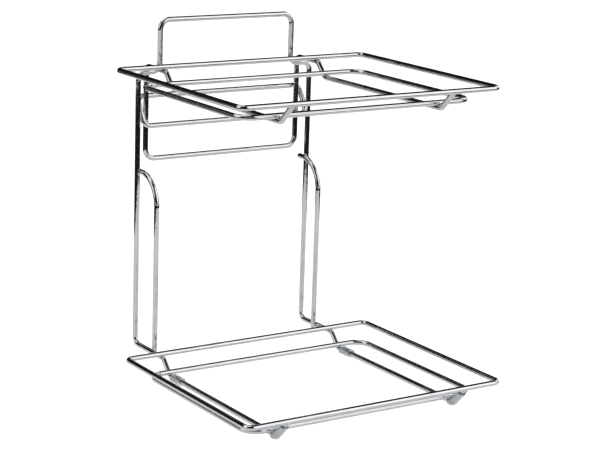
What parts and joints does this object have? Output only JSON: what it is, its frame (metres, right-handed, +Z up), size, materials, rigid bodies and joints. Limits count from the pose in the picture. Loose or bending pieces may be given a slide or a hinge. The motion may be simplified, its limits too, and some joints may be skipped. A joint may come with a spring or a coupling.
{
  "type": "two tier wire tray stand",
  "caption": "Free-standing two-tier tray stand of bent and welded chrome wire, with a carrying handle and a lift-off upper tier hooked over the frame.",
  "frame": {"origin": "on the table, under the centre of the whole stand's bounding box", "axes": "+X across the stand to the right as seen from the front, +Y to the back, +Z up"},
  "size_m": [0.3464, 0.3627, 0.4175],
  "materials": {
    "chrome_wire": "bright chrome plate over welded steel wire",
    "clear_pvc": "soft clear plastic, slightly cloudy"
  },
  "bodies": {
    "stand": {"handle": "chrome_wire", "upright_left": "chrome_wire", "upright_right": "chrome_wire", "lower_runner_left": "chrome_wire", "lower_runner_right": "chrome_wire", "lower_rim": "chrome_wire", "lower_ledge": "chrome_wire", "guide_ring": "chrome_wire", "side_brace_left": "chrome_wire", "side_brace_right": "chrome_wire", "front_foot_left": "clear_pvc", "front_foot_right": "clear_pvc", "rear_foot_left": "clear_pvc", "rear_foot_right": "clear_pvc"},
    "upper_tier": {"upper_rim": "chrome_wire", "upper_ledge": "chrome_wire", "hanger_hook": "chrome_wire", "upper_runner_left": "chrome_wire", "upper_runner_right": "chrome_wire"}
  },
  "joints": [
    {"name": "upper_tier_lift", "type": "slide", "parent": "stand", "child": "upper_tier", "axis": [0, 0, 1], "range_m": [0, 0.18]}
  ]
}
